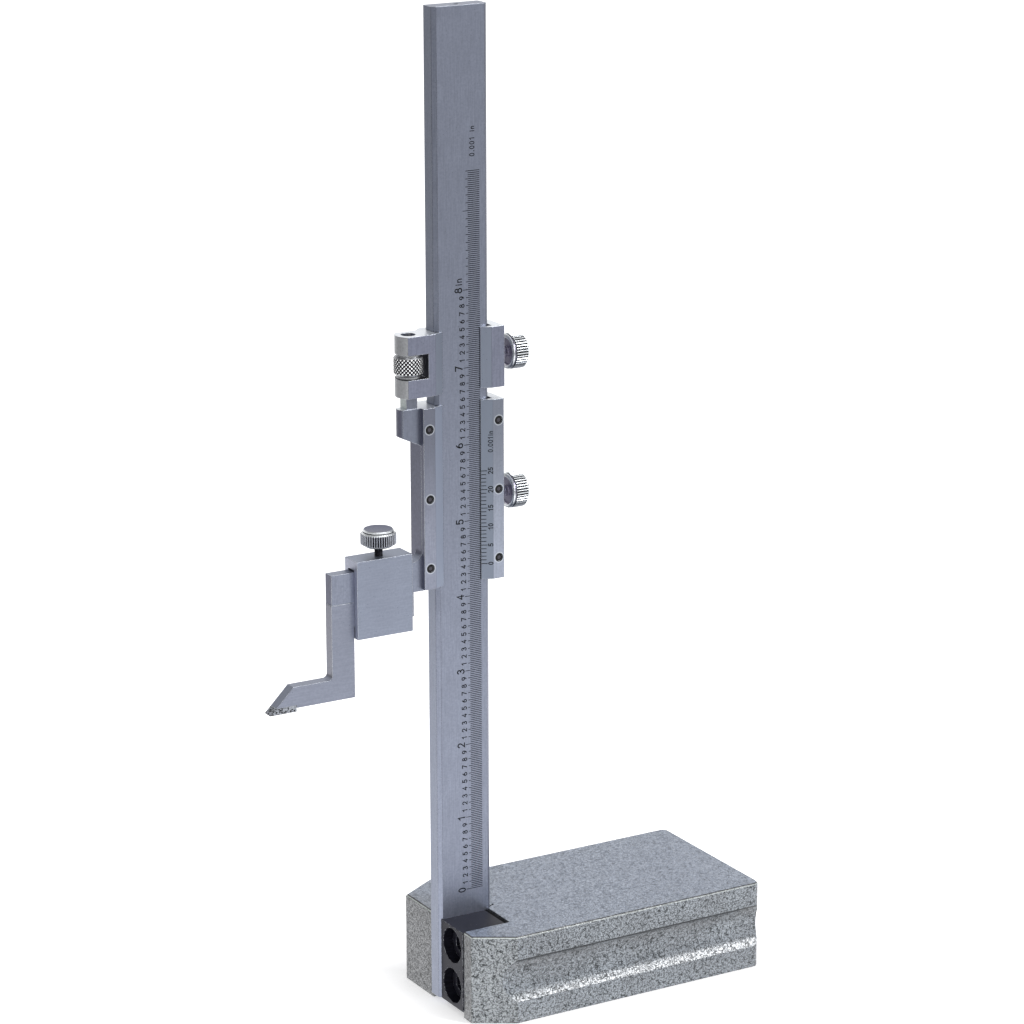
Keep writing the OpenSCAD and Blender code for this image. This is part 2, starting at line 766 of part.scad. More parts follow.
module scriber_clamp_screw() {
    color(chrome_colour) {
        translate([clamp_mid_x, clamp_mid_y, head_z0])
            knurled_head(screw_head_r, screw_head_h, [screw_low_bevel, screw_low_bevel],
                [screw_head_bevel, screw_head_bevel]);
        rod_z([clamp_mid_x, clamp_mid_y, head_z0 + screw_head_h - over], screw_cap_r, screw_cap_h + over);
        rod_z([clamp_mid_x, clamp_mid_y, arm_z1 + turn_gap], screw_shank_r,
            head_z0 + over - arm_z1 - turn_gap);
    }
}

// Outline of the scriber's upright and foot, with the seat of its tip
function scriber_outline() = [
    [upright_x1 + shank_l, shank_z1],
    [upright_x0, shank_z1],
    [upright_x0, foot_z1 + foot_fillet],
    [upright_x0 - foot_fillet, foot_z1],
    [upright_x0 - foot_l, foot_z1],
    [edge_x + tip_t, tip_z1],
    [tip_x1, tip_z1],
    [tip_x1, foot_z0],
    [upright_x1, foot_z0],
    [upright_x1, shank_z0],
    [upright_x1 + shank_l, shank_z0]
];

module scriber() {
    color(steel_colour)
        difference() {
            cross_prism(scriber_outline(), arm_y0, arm_y1);
            rod_y([upright_x0 - foot_fillet, arm_y0 - over, foot_z1 + foot_fillet], foot_fillet,
                arm_t + 2 * over);
        }
}

module scriber_tip() {
    color(carbide_colour)
        cross_prism([[edge_x, reading], [tip_x1, reading], [tip_x1, tip_z1], [edge_x + tip_t, tip_z1]],
            arm_y0, arm_y1);
}

base_casting();
beam();
clamp_block();
clamp_block_screws();
slider_frame();
front_plate();
vernier_plate();
front_plate_screws();
vernier_plate_screws();
slider_gib();
slider_lock_screw();
adjusting_stud();
carriage_body();
carriage_gib();
carriage_lock_screw();
adjusting_nut();
scriber_clamp();
scriber_clamp_screw();
scriber();
scriber_tip();
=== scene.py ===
"""Looks of a vernier height gauge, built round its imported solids.

Lengths are in millimetres of the row frame until they reach a mesh. The stage's are in metres.
"""

import functools
import math

import bmesh
import bpy
from mathutils import Matrix, Vector


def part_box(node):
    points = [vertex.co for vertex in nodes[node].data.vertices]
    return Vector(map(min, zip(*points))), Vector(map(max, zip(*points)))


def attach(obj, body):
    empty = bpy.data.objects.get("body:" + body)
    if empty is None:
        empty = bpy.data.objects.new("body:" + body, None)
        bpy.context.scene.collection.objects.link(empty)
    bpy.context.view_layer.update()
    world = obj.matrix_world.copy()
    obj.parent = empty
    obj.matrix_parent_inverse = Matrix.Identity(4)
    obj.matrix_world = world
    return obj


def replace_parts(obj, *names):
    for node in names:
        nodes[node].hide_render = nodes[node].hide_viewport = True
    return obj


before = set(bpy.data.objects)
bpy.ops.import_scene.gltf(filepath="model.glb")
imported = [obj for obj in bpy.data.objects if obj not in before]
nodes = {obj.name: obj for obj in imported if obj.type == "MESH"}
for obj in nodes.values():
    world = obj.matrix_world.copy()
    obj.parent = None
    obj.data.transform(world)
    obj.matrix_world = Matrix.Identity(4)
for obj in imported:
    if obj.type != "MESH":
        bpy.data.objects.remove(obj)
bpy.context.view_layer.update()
MM = 0.001
INCH = 25.4


def corners(node):
    """Lowest and highest corner of a solid."""
    low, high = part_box(node)
    return low / MM, high / MM


base_low, base_high = corners("base_casting")
block_high = corners("clamp_block")[1]
beam_low = corners("beam")[0]
plate_low, plate_high = corners("vernier_plate")
carriage_low = corners("carriage_body")[0]
nut_low, nut_high = corners("adjusting_nut")
tip_low = corners("scriber_tip")[0]


# Shader maths


class Field:
    """A value of a shader tree that varies over a surface. Arithmetic on it adds the nodes it needs."""

    def __init__(self, tree, socket):
        self.tree, self.socket = tree, socket

    def maths(self, operation, *others):
        """A Math node on this value and up to two others."""
        node = self.tree.nodes.new("ShaderNodeMath")
        node.operation = operation
        for socket, value in zip(node.inputs, (self, *others)):
            connect(self.tree, socket, value)
        return Field(self.tree, node.outputs[0])

    def __add__(self, other):
        return self.maths("ADD", other)

    def __sub__(self, other):
        return self.maths("SUBTRACT", other)

    def __rsub__(self, other):
        return self.maths("MULTIPLY_ADD", -1.0, other)

    def __mul__(self, other):
        return self.maths("MULTIPLY", other)

    def __truediv__(self, other):
        return self.maths("DIVIDE", other)

    def __pow__(self, other):
        return self.maths("POWER", other)

    def __or__(self, other):
        return self.maths("MAXIMUM", other)

    __radd__, __rmul__ = __add__, __mul__

    def rise(self, start, end):
        """0 where this value is at start, 1 where it is at end, and smooth between them."""
        node = self.tree.nodes.new("ShaderNodeMapRange")
        node.interpolation_type = "SMOOTHSTEP"
        for name, value in (("Value", self), ("From Min", start), ("From Max", end)):
            connect(self.tree, node.inputs[name], value)
        return Field(self.tree, node.outputs[0])


def connect(tree, socket, value):
    """Links a field to a socket, or sets the socket to a constant."""
    if isinstance(value, Field):
        tree.links.new(value.socket, socket)
    elif socket.type == "RGBA":
        socket.default_value = (*value, 1.0)
    else:
        socket.default_value = value


class Shading:
    """Adds nodes to a shader tree."""

    def __init__(self, tree):
        self.tree = tree

    def node(self, kind, output=0, settings=None, **inputs):
        """A node of any kind: its settings first, then its inputs by name or as _number, and one output."""
        made = self.tree.nodes.new("ShaderNode" + kind)
        for name, value in (settings or {}).items():
            setattr(made, name, value)
        for name, value in inputs.items():
            key = int(name[1:]) if name[0] == "_" else name.replace("_", " ")
            connect(self.tree, made.inputs[key], value)
        return Field(self.tree, made.outputs[output])

    def mix(self, factor, a, b):
        """Colour a where the factor is 0, and b where it is 1."""
        return self.node("Mix", 2, {"data_type": "RGBA"}, _0=factor, _6=a, _7=b)

    def parts(self, vector):
        """The three parts of a vector."""
        made = self.node("SeparateXYZ", 0, None, _0=vector).socket.node
        return [Field(self.tree, socket) for socket in made.outputs]

    def rays(self, *names):
        """1 where any of these kinds of ray looks, otherwise 0."""
        path = self.node("LightPath").socket.node.outputs
        found = [Field(self.tree, path[f"Is {name} Ray"]) for name in names]
        return functools.reduce(Field.__or__, found)


class Finish(Shading):
    """A procedural material on a Principled shader, patterned on the row frame's own coordinates."""

    def __init__(self, name, **constants):
        self.material = bpy.data.materials.new(name)
        self.material.use_nodes = True
        super().__init__(self.material.node_tree)
        self.shader = self.tree.nodes["Principled BSDF"]
        self.worn = None
        self.set(**constants)

    def set(self, **values):
        """Feeds the shader's sockets, named with underscores for spaces."""
        for name, value in values.items():
            connect(self.tree, self.shader.inputs[name.replace("_", " ")], value)
        return self

    def on(self, *objects):
        """Gives this finish to pieces."""
        for made in objects:
            made.data.materials.clear()
            made.data.materials.append(self.material)
        return self

    def place(self, stretch=(1, 1, 1)):
        """Millimetres in the row frame, times a stretch on each axis."""
        point = self.node("TexCoord", "Object")
        return self.node("Mapping", Vector=point, Scale=[v / MM for v in stretch])

    def noise(self, scale, detail=2.0, rough=0.5, stretch=(1, 1, 1)):
        """Soft noise, scale waves to the millimetre."""
        point = self.place(stretch)
        return self.node("TexNoise", 0, None, Vector=point, Scale=scale, Detail=detail, Roughness=rough)

    def spots(self, scale, feature="F1", point=None):
        """Distance to the nearest of scattered spots, or to the border between two of them."""
        point = point or self.place()
        return self.node("TexVoronoi", "Distance", {"feature": feature}, Vector=point, Scale=scale)

    def shades(self, factor, tint, spread):
        """From a darker to a lighter shade of one tint."""
        return self.mix(factor, [v * (1 - spread) for v in tint], [v * (1 + spread) for v in tint])

    def edges(self, radius):
        """Rounds the edges to the eye. Gives a line along the very edge, and a second line beside it."""
        self.worn = self.node("Bevel", 0, {"samples": 8}, Radius=radius * MM)
        flat = self.node("NewGeometry", "Normal")
        lean = self.node("VectorMath", 1, {"operation": "DOT_PRODUCT"}, _0=self.worn, _1=flat)
        return lean.rise(0.93, 0.82), lean.rise(0.999, 0.985) * lean.rise(0.88, 0.94)

    def relief(self, height, depth):
        """Bump of a height from 0 to 1 that stands for a depth in millimetres, over the rounded edges."""
        over = {"Normal": self.worn} if self.worn else {}
        return self.node("Bump", 0, None, Height=height, Distance=depth * MM, **over)

    def facing(self):
        """The three parts of the way that the surface faces."""
        return self.parts(self.node("NewGeometry", "True Normal"))

    def within(self, low, high, soft=0.05):
        """1 inside a box of the row frame, in millimetres. A side that is None is open."""
        inside = []
        for part, least, most in zip(self.parts(self.place()), low, high):
            if least is not None:
                inside.append(part.rise(least - soft, least + soft))
            if most is not None:
                inside.append(part.rise(most + soft, most - soft))
        return functools.reduce(Field.__mul__, inside)

    def from_screws(self, screws):
        """How far a point is from the nearest of a plate's three screws, and the radius of their heads."""
        low, high = corners(screws)
        rim = (high.x - low.x) / 2
        x, _, z = self.parts(self.place())
        across = x - (low.x + high.x) / 2
        heights = [z - at for at in (low.z + rim, (low.z + high.z) / 2, high.z - rim)]
        nearest = [(across * across + height * height) ** 0.5 for height in heights]
        return functools.reduce(lambda a, b: a.maths("MINIMUM", b), nearest), rim


# Materials

EVERYWHERE = (None, None, None)
ALONG_X, ALONG_Z = (0.05, 1, 1), (1, 1, 0.05)
# Light tint of edges, for wear and painted highlight
EDGE_WEAR_AND_HIGHLIGHT = (0.86, 0.91, 0.96)
# Near black of dark lines along edges
EDGE_DARK = (0.02, 0.02, 0.025)


def ground_steel(name, tint, rough, grain, spread=0.12, top=None, above=None, left=None,
                 turn=(-0.8, -0.95), until=None, bevel=None, fade=None, dark=(), screws=None):
    """Ground and lapped steel: fine lines along the grain, faint clouds, a few dark pits, and edges
    lightened by wear and painted highlight.

    top, left and bevel are tints of painted light and shade on the faces that look that way: top only above
    a height, and left only for faces turned as far as turn says, no further right than until. fade is
    painted shade: two heights and how far the front dims from the first to the second. dark lists boxes of
    painted shade with their depth, and screws names the node of a plate's screws, which get painted shade in
    the gap round each head and a ring of painted highlight round that.
    """
    f = Finish(name, Metallic=0.85)
    line = f.noise(2.2, 3, 0.65, grain)
    tooth = f.noise(1.3, 3, 0.7)
    cloud = f.noise(0.11, 3, 0.55)
    pit = f.spots(0.9).rise(0.13, 0.07) * f.noise(0.25, 1).rise(0.52, 0.62)
    colour = f.shades((line * 0.5 + tooth * 0.5).rise(0.35, 0.65), tint, spread)
    colour = f.mix(cloud.rise(0.35, 0.7) * 0.3, colour, [v * 0.86 for v in tint])
    across, ahead, upward = f.facing()
    # Painted shade: the front dims with height
    if fade:
        low, high, share = fade
        height = f.parts(f.place())[2]
        front = ahead.rise(-0.5, -0.6)
        colour = f.mix(height.rise(low, high) * front * share, colour, [v * 0.5 for v in tint])
    # Painted highlight on faces that look up
    if top:
        over = f.within((None, None, above), EVERYWHERE) if above else 1.0
        colour = f.mix(upward.rise(0.6, 0.9) * over, colour, top)
    # Painted light and shade on faces that look left
    if left:
        side = f.within(EVERYWHERE, (until, None, None)) if until else 1.0
        colour = f.mix(across.rise(*turn) * side, colour, f.shades(tooth.rise(0.3, 0.7), left, spread))
    # Painted light and shade on the slanted bevel
    if bevel:
        slant = ahead.rise(-0.87, -0.89) * ahead.rise(-0.95, -0.93)
        colour = f.mix(slant, colour, bevel)
    # Painted shade in boxes, such as the nut's window and along the vernier plate's lip
    for low, high, depth in dark:
        colour = f.mix(f.within(low, high) * depth, colour, (0.008, 0.008, 0.012))
    # A darker line beside each edge, with the pits, and the very edge lightened by wear and painted
    # highlight
    edge, beside = f.edges(0.3)
    colour = f.mix(pit * 0.6 | beside * 0.45, colour, (0.03, 0.03, 0.04))
    colour = f.mix(edge * 0.75, colour, EDGE_WEAR_AND_HIGHLIGHT)
    # Painted shade in the gap round each screw head, and a ring of painted highlight round that
    if screws:
        out, rim = f.from_screws(screws)
        face = ahead.rise(-0.8, -0.9)
        ring_highlight = out.rise(rim + 0.75, rim + 0.55) * face
        gap = out.rise(rim + 0.35, rim + 0.25) * face
        colour = f.mix(ring_highlight * 0.38, colour, EDGE_WEAR_AND_HIGHLIGHT)
        colour = f.mix(gap, colour, (0.004, 0.004, 0.006))
    return f.set(Base_Color=colour, Roughness=line * 0.12 + (rough - 0.06), Normal=f.relief(line, 0.003))


# Heights between which the painted shadow line under the groove's upper lip begins
LIP_SHADOW_LOW, LIP_SHADOW_HIGH = 21.3, 21.7
# How far the cracks wander
SWAY = 1.8


def enamel_crackle(f):
    """Where the enamel is dark: wandering cracks, finer ones between them, and flecks."""
    sway = f.node("TexNoise", 1, None, Vector=f.place(), Scale=0.8, Detail=3.0)
    point = f.node("VectorMath", 0, {"operation": "MULTIPLY_ADD"}, _0=sway, _1=(SWAY,) * 3, _2=f.place())
    craze = f.spots(0.60, "DISTANCE_TO_EDGE", point).rise(0.10, 0.04) * f.noise(0.7, 2).rise(0.48, 0.54)
    hair = f.spots(1.9, "DISTANCE_TO_EDGE", point).rise(0.21, 0.11) * f.noise(1.6, 2).rise(0.46, 0.52)
    fleck = f.spots(1.7).rise(0.34, 0.24) * f.noise(1.2, 1).rise(0.46, 0.52)
    return craze | hair * 0.75 | fleck * 0.85


def enamel_side(f, grit, across, upward):
    """Tint of the casting's sides: painted light on its chamfers, and painted shade on its left end and
    under the groove's lip.
    """
    cloud = f.noise(0.05, 2).rise(0.4, 0.65)
    lit_chamfer = across.rise(-0.4, -0.6) * across.rise(-0.9, -0.8)
    end = across.rise(-0.8, -0.95)
    side = f.shades(grit.rise(0.36, 0.64), (0.326, 0.363, 0.407), 0.22)
    # Painted light on the chamfers of the nose
    side = f.mix(lit_chamfer * 0.7, side, (0.44, 0.47, 0.48))
    # Faint darker clouds of tone, and painted shade on the left end
    side = f.mix(cloud * 0.3 | end * 0.9, side, (0.145, 0.152, 0.170))
    # Painted shade on faces that look down, under the groove's lip
    return f.mix(upward.rise(-0.05, -0.6) * 0.4, side, (0.060, 0.060, 0.065))


def crackle_enamel():
    """Hammered grey-green enamel, speckled and crazed on the sides, smoother and bluer on the top."""
    f = Finish("crackle_enamel", Metallic=0.0, Specular_IOR_Level=0.4)
    grit = f.noise(1.7, 3, 0.7)
    across, _, upward = f.facing()
    height = f.parts(f.place())[2]
    top = upward.rise(0.8, 0.95)
    upper = f.shades(grit.rise(0.36, 0.64), (0.250, 0.298, 0.394), 0.24)
    colour = f.mix(top, enamel_side(f, grit, across, upward), upper)
    # Painted shadow under the groove's upper lip, darkened with the cracks and flecks
    lip = upward.rise(-0.2, -0.3) * height.rise(LIP_SHADOW_LOW, LIP_SHADOW_HIGH)
    dark = enamel_crackle(f) | lip
    colour = f.mix(dark * (0.92 - top * 0.34), colour, (0.014, 0.017, 0.019))

    # The bevel round the top, with wear and painted highlight along its rim and a dark line along its upper
    # edge, and wear and painted highlight on the edges round the notch
    edge, beside = f.edges(0.5)
    drop = base_high.z - height
    bevel = upward.rise(0.5, 0.65) * upward.rise(0.9, 0.8)
    line = bevel * drop.rise(0.34, 0.26)
    rim = bevel * drop.rise(1.0, 0.9) * drop.rise(0.26, 0.34)
    notch = f.within(EVERYWHERE, (base_low.x + 1.0, None, None))
    edge_wear_and_highlight = edge * (notch * 0.5 + 0.12)
    rim_wear_and_highlight = rim * grit.rise(0.3, 0.5) * (across.rise(-0.1, -0.3) * 0.5 + 0.4)
    colour = f.mix(edge_wear_and_highlight | rim_wear_and_highlight, colour, (0.70, 0.76, 0.73))
    colour = f.mix(line * 0.9 | beside * notch * 0.6, colour, EDGE_DARK)
    f.set(Coat_Weight=grit.rise(0.36, 0.52) * (1 - dark), Coat_Roughness=0.2, Coat_IOR=1.8)
    relief = f.relief(grit * 0.7 - dark * 0.5, 0.08)
    return f.set(Base_Color=colour, Roughness=grit * 0.35 + 0.2, Normal=relief)


def black_oxide():
    """Blued steel: near black and slightly violet, nicked along its edges, with painted shade in the gap at
    its inner end.
    """
    f = Finish("black_oxide", Metallic=0.5, Specular_IOR_Level=0.3)
    grain = f.noise(2.2, 3, 0.6, (0.2, 1, 1))
    scratch = f.noise(0.9, 2, 0.5, (0.3, 2.6, 2.6)).rise(0.73, 0.77)
    colour = f.mix(grain.rise(0.35, 0.7), (0.011, 0.011, 0.018), (0.022, 0.022, 0.036))
    nick = f.edges(0.3)[0] * f.noise(0.9, 3, 0.7).rise(0.46, 0.56)
    colour = f.mix(nick | scratch * 0.5, colour, (0.50, 0.53, 0.57))
    # Painted shade: the gap at the block's inner end is near black
    gap = f.within((block_high.x - 0.9, None, block_high.z - 0.2), EVERYWHERE)
    colour = f.mix(gap, colour, (0.001, 0.001, 0.002))
    rough = grain * 0.2 + gap * 0.4 + 0.35
    return f.set(Base_Color=colour, Roughness=rough, Normal=f.relief(grain, 0.004))


def satin_chrome(name, axis, centre, radius, depth, band, disc, *, necks=(), dull=(0.22, 0.215, 0.27),
                 bright=(0.84, 0.87, 0.90), crest=None, mesh=None, sunk=(0.03, 0.029, 0.038)):
    """Plating of a turned piece: bright on the crests of its knurl, and painted shade in its roots.

    band is where the knurl is along the axis, crest its own tint, and mesh the count and rise of a diamond
    knurl. The end faces are dull inside a disc, and sunk is the tint of painted shade in the necks between
    two heights.
    """
    f = Finish(name, Metallic=0.75)
    fine = f.noise(2.0, 2, 0.6)
    point = f.parts(f.place())
    away = [part - at for i, (part, at) in enumerate(zip(point, centre)) if i != axis]
    out = (away[0] * away[0] + away[1] * away[1]) ** 0.5
    along = point[axis] - centre[axis]

    def between(low, high):
        return along.rise(low - 0.04, low + 0.04) * along.rise(high + 0.04, high - 0.04)

    # Painted shade in the roots of the knurl
    root_shade = out.rise(radius - depth * 0.3, radius - depth * 0.55)
    if mesh:
        count, rise = mesh
        turn = away[1].maths("ARCTAN2", away[0]) * (count / math.tau)
        waves = [helix.maths("PINGPONG", 0.5) for helix in (turn + along / rise, turn - along / rise)]
        root_shade = (waves[0] + waves[1]).rise(0.29, 0.47)
    knurled = between(*band)
    colour = f.shades(fine.rise(0.35, 0.7), bright, 0.1)
    if crest:
        colour = f.mix(knurled, colour, f.shades(fine.rise(0.35, 0.7), crest, 0.15))
    colour = f.mix(root_shade * knurled, colour, (0.010, 0.011, 0.015))
    end = out.rise(disc + 0.08, disc - 0.08)
    colour = f.mix(end, colour, f.shades(fine.rise(0.35, 0.7), dull, 0.2))
    # Painted shade in the necks
    for low, high in necks:
        colour = f.mix(between(low, high), colour, sunk)
    # Painted shade on the underside of a knob that lies along x
    if axis == 0:
        under = (point[2] - centre[2]).rise(radius * -0.1, radius * -0.75)
        skin = out.rise(radius - 0.9, radius - 0.6)
        colour = f.mix(under * skin * 0.8, colour, (0.09, 0.105, 0.135))
    return f.set(Base_Color=colour, Roughness=fine * 0.1 + end * 0.2 + 0.2)


def oiled_screws(name, screws):
    """Black oiled screw heads with a dark socket."""
    f = Finish(name, Metallic=0.4)
    out, rim = f.from_screws(screws)
    grain = f.noise(2.0, 3)
    head = f.shades(grain, (0.055, 0.052, 0.065), 0.5)
    colour = f.mix(out.rise(rim * 0.50, rim * 0.60), head, (0.003, 0.003, 0.004))
    return f.set(Base_Color=colour, Roughness=grain * 0.2 + 0.45)


def sintered_carbide():
    """Rough carbide and its brazing, dark hollows between light grains."""
    f = Finish("sintered_carbide", Metallic=0.5)
    lump = f.noise(1.4, 4, 0.75)
    colour = f.mix(lump.rise(0.45, 0.52), (0.004, 0.005, 0.007), (0.41, 0.435, 0.485))
    edge, _ = f.edges(0.3)
    colour = f.mix(edge * 0.8, colour, EDGE_DARK)
    return f.set(Base_Color=colour, Roughness=lump * 0.4 + 0.3, Normal=f.relief(lump, 0.5))


def black_filling():
    """Black filling in a ruled or stamped line."""
    f = Finish("scale_ink", Roughness=0.55, Specular_IOR_Level=0.2)
    return f.set(Base_Color=f.shades(f.noise(1.6, 2), (0.004, 0.005, 0.007), 0.25))


# Finishes of the solids

STEEL = (0.260, 0.284, 0.360)
# Painted shade for faces that look left, and painted highlight for faces that look up
PAINTED_LEFT_SHADE, PAINTED_TOP_HIGHLIGHT = (0.150, 0.155, 0.210), (0.85, 0.88, 0.92)
# A fade is painted shade: two heights, and how far the steel dims from the first to the second
BEAM_SHADE_FADE, SLIDER_SHADE_FADE = (110, 240, 0.25), (160, 200, 0.4)
PLATE_SHADE_FADE = (plate_low.z + 12, plate_high.z - 4, 0.75)
# A box of painted shade is its two corners and its depth
NUT_WINDOW_SHADE = ((None, None, nut_low.z - 0.12), (nut_high.x + 0.3, None, nut_high.z + 0.12), 0.95)
VERNIER_LIP_SHADOW = ((None, plate_high.y - 0.28, None), (plate_low.x + 1.0, None, None), 0.9)
# How far right the carriage's rounded fork gets the painted light of a left face
FORK_LENGTH = 6.0


def finish_solids():
    """Gives every solid its finish."""
    crackle_enamel().on(nodes["base_casting"])
    # Beside each steel's own tint, its top, left and bevel tints are painted light and shade
    ground_steel("beam_steel", STEEL, 0.40, ALONG_Z, 0.13, fade=BEAM_SHADE_FADE).on(nodes["beam"])
    black_oxide().on(nodes["clamp_block"], nodes["clamp_block_screws"])
    ground_steel("slider_steel", STEEL, 0.38, ALONG_Z, top=PAINTED_TOP_HIGHLIGHT, above=plate_high.z - 5,
                 left=PAINTED_LEFT_SHADE, fade=SLIDER_SHADE_FADE).on(nodes["slider_frame"])
    ground_steel("front_plate_steel", (0.290, 0.310, 0.390), 0.36, ALONG_Z, top=PAINTED_TOP_HIGHLIGHT, left=PAINTED_LEFT_SHADE,
                 bevel=(0.275, 0.310, 0.400), fade=PLATE_SHADE_FADE,
                 screws="front_plate_screws").on(nodes["front_plate"])
    ground_steel("vernier_steel", (0.360, 0.392, 0.480), 0.36, ALONG_Z, top=PAINTED_TOP_HIGHLIGHT,
                 bevel=(0.235, 0.268, 0.335), fade=PLATE_SHADE_FADE, dark=[VERNIER_LIP_SHADOW],
                 screws="vernier_plate_screws").on(nodes["vernier_plate"])
    ground_steel("carriage_steel", (0.232, 0.248, 0.325), 0.38, ALONG_Z, top=PAINTED_TOP_HIGHLIGHT,
                 left=(0.44, 0.45, 0.47), turn=(-0.1, -0.3), until=carriage_low.x + FORK_LENGTH,
                 bevel=(0.245, 0.275, 0.345), dark=[NUT_WINDOW_SHADE]).on(nodes["carriage_body"])
    ground_steel("clamp_steel", (0.276, 0.305, 0.385), 0.42, ALONG_X, 0.09,
                 left=(0.47, 0.49, 0.59)).on(nodes["scriber_clamp"])
    ground_steel("scriber_steel", (0.262, 0.283, 0.354), 0.42, ALONG_X, 0.09,
                 left=(0.265, 0.27, 0.32)).on(nodes["scriber"])
    ground_steel("stud_steel", (0.20, 0.215, 0.265), 0.30, ALONG_Z, 0.09,
                 left=(0.55, 0.60, 0.60)).on(nodes["adjusting_stud"])
    ground_steel("gib_steel", (0.40, 0.43, 0.46), 0.30, ALONG_Z, 0.09).on(
        nodes["slider_gib"], nodes["carriage_gib"])
    for screws in ("front_plate_screws", "vernier_plate_screws"):
        oiled_screws(screws + "_black", screws).on(nodes[screws])
    sintered_carbide().on(nodes["scriber_tip"])


# Meshes

MERGE = 1e-4


def piece(name, bm, body, finish, smooth=0.0):
    """Makes a bmesh, in millimetres in the row frame, a piece that rides on a body.

    Edges that turn by less than the angle smooth are shaded smooth.
    """
    bmesh.ops.remove_doubles(bm, verts=bm.verts, dist=MERGE)
    bmesh.ops.recalc_face_normals(bm, faces=bm.faces)
    bmesh.ops.scale(bm, vec=(MM, MM, MM), verts=bm.verts)
    for edge in bm.edges:
        edge.smooth = edge.calc_face_angle(math.pi) < smooth
    for face in bm.faces:
        face.smooth = smooth > 0
    made = linked(name, meshed(name, bm))
    finish.on(made)
    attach(made, body)
    return made


def meshed(name, bm):
    """Turns a bmesh into a mesh and frees it."""
    mesh = bpy.data.meshes.new(name)
    bm.to_mesh(mesh)
    bm.free()
    return mesh


def linked(name, data):
    """An object of some data, in the scene."""
    made = bpy.data.objects.new(name, data)
    bpy.context.scene.collection.objects.link(made)
    return made


def lathe(profile, steps, sectors=12):
    """Turns (height, radius) points round +Z into a closed shape: one sector is spun and then copied."""
    bm = bmesh.new()
    line = [bm.verts.new((radius, 0, height)) for height, radius in profile]
    line += [bm.edges.new(pair) for pair in zip(line, line[1:])]
    turn = math.tau / sectors
    bmesh.ops.spin(bm, geom=line, axis=(0, 0, 1), angle=turn, steps=steps // sectors)
    bmesh.ops.spin(bm, geom=[*bm.verts, *bm.edges, *bm.faces], axis=(0, 0, 1), angle=math.tau - turn,
                   steps=sectors - 1, use_duplicate=True)
    bmesh.ops.remove_doubles(bm, verts=bm.verts, dist=MERGE)
    return bm


def roll(bm, low, high, depth):
    """Presses a knurl or a thread into the skin between two heights, as deep as depth(turn, height) says."""
    for vert in bm.verts:
        if low <= vert.co.z <= high and vert.co.xy.length > MERGE:
            turn = math.atan2(vert.co.y, vert.co.x) / math.tau
            vert.co.xy *= 1 - depth(turn, vert.co.z) / vert.co.xy.length


def seat(bm, at, axis):
    """Puts a turned shape at a point, its own +Z along an axis."""
    turn = Vector((0, 0, 1)).rotation_difference(Vector(axis)).to_matrix().to_4x4()
    bmesh.ops.transform(bm, matrix=Matrix.Translation(at) @ turn, verts=bm.verts)


def levels(low, high, count):
    """Evenly spaced heights."""
    return [low + (high - low) * i / count for i in range(count + 1)]


def ridge(phase):
    """1 at whole numbers and 0 midway between them."""
    return abs(2 * (phase % 1.0) - 1)


def groove(crest, depth):
    """Depth of a knurl with narrow flats along its crests."""
    return depth * (1 - min(1, 1.15 * crest))


def straight_knurl(count, depth):
    """Grooves along the axis."""
    return lambda turn, height: groove(ridge(turn * count), depth)


def diamond_knurl(count, rise, depth):
    """Two crossing sets of helical grooves. rise is the height of one diamond."""

    def pressed(turn, height):
        crest = min(ridge(turn * count + height / rise), ridge(turn * count - height / rise))
        return groove(crest, depth)

    return pressed


def screw_thread(pitch, depth):
    """One helical groove."""
    return lambda turn, height: depth * (1 - ridge(height / pitch + turn))


# Engraved marks


def bend(x, y, rx, ry, start, end, steps):
    """Points of an arc of an ellipse."""
    turns = [math.radians(start + (end - start) * i / steps) for i in range(steps + 1)]
    return [(x + rx * math.cos(t), y + ry * math.sin(t)) for t in turns]


# Each character is the width that it takes and a few strokes in a box 1 high
CHARACTERS = {
    "0": (0.6, [bend(0.3, 0.5, 0.26, 0.5, 0, 360, 18)]),
    "1": (0.5, [[(0.05, 0.74), (0.31, 1.0), (0.31, 0.0)]]),
    "2": (0.6, [bend(0.3, 0.72, 0.26, 0.28, 165, -20, 9) + [(0.46, 0.44), (0.04, 0.0), (0.58, 0.0)]]),
    "3": (0.6, [bend(0.29, 0.76, 0.23, 0.24, 155, -85, 9) + bend(0.29, 0.27, 0.28, 0.27, 85, -155, 10)]),
    "4": (0.6, [[(0.44, 0.0), (0.44, 1.0), (0.02, 0.28), (0.6, 0.28)]]),
    "5": (0.6, [[(0.54, 1.0), (0.12, 1.0), (0.07, 0.54)] + bend(0.29, 0.32, 0.28, 0.32, 130, -150, 11)]),
    "6": (0.6, [bend(0.62, 0.30, 0.59, 0.70, 115, 180, 6) + bend(0.3, 0.29, 0.27, 0.29, 180, 520, 14)]),
    "7": (0.6, [[(0.02, 1.0), (0.58, 1.0), (0.2, 0.0)]]),
    "8": (0.6, [bend(0.3, 0.27, 0.28, 0.27, 90, 450, 16), bend(0.3, 0.77, 0.22, 0.23, -90, 270, 14)]),
    "9": (0.6, [bend(-0.02, 0.70, 0.59, 0.70, -65, 0, 6) + bend(0.3, 0.71, 0.27, 0.29, 0, 340, 14)]),
    "i": (0.24, [[(0.12, 0.0), (0.12, 0.62)], [(0.12, 0.80), (0.12, 0.92)]]),
    "n": (0.5, [[(0.04, 0.0), (0.04, 0.64)],
                [(0.04, 0.40)] + bend(0.25, 0.40, 0.20, 0.24, 150, 0, 6) + [(0.45, 0.0)]]),
    ".": (0.2, [[(0.1, 0.0), (0.1, 0.14)]]),
    " ": (0.45, []),
}


